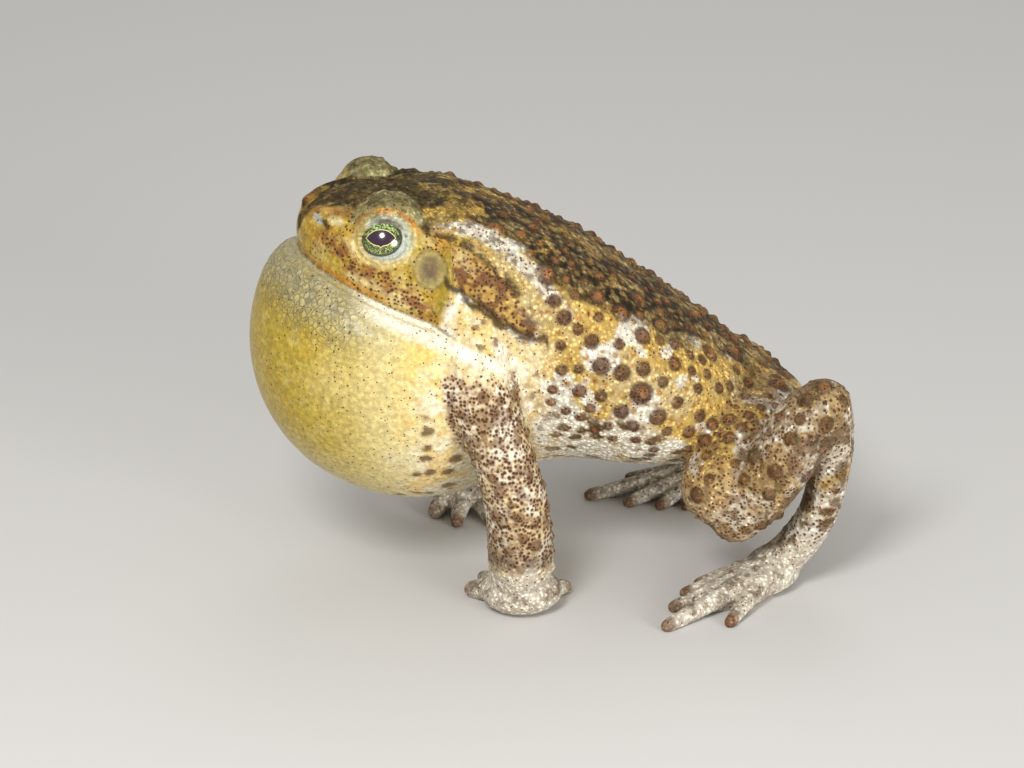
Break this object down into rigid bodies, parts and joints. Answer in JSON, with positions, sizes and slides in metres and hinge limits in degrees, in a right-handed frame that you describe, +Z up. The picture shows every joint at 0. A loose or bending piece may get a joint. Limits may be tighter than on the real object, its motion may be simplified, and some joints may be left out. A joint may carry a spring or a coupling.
{
  "type": "cane toad",
  "caption": "Life-size still model of a male cane toad calling, propped up on its arms, with a round inflated vocal sac under the chin.",
  "frame": {"origin": "middle of the underside of the toad's box, on the floor", "axes": "+Z up, the toad faces -Y, and its left side is towards +X"},
  "size_m": [0.0924, 0.124, 0.0887],
  "materials": {
    "warty_skin": "moist, granular and warty",
    "head_skin": "moist, finely granular",
    "sac_skin": "moist, smooth and stretched",
    "gland_skin": "moist, pitted",
    "eardrum_skin": "smooth, slightly translucent",
    "limb_skin": "moist, granular",
    "foot_skin": "moist, finely granular",
    "eye": "wet and glossy"
  },
  "bodies": {
    "root": {"head": "head_skin", "vocal_sac": "sac_skin", "torso": "warty_skin", "eye_left": "eye", "eye_right": "eye", "tympanum_left": "eardrum_skin", "tympanum_right": "eardrum_skin", "parotoid_left": "gland_skin", "parotoid_right": "gland_skin", "upper_arm_left": "limb_skin", "upper_arm_right": "limb_skin", "forearm_left": "limb_skin", "forearm_right": "limb_skin", "hand_left": "foot_skin", "hand_right": "foot_skin", "thigh_left": "limb_skin", "thigh_right": "limb_skin", "shank_left": "limb_skin", "shank_right": "limb_skin", "tarsus_left": "limb_skin", "tarsus_right": "limb_skin", "foot_left": "foot_skin", "foot_right": "foot_skin"}
  },
  "joints": []
}
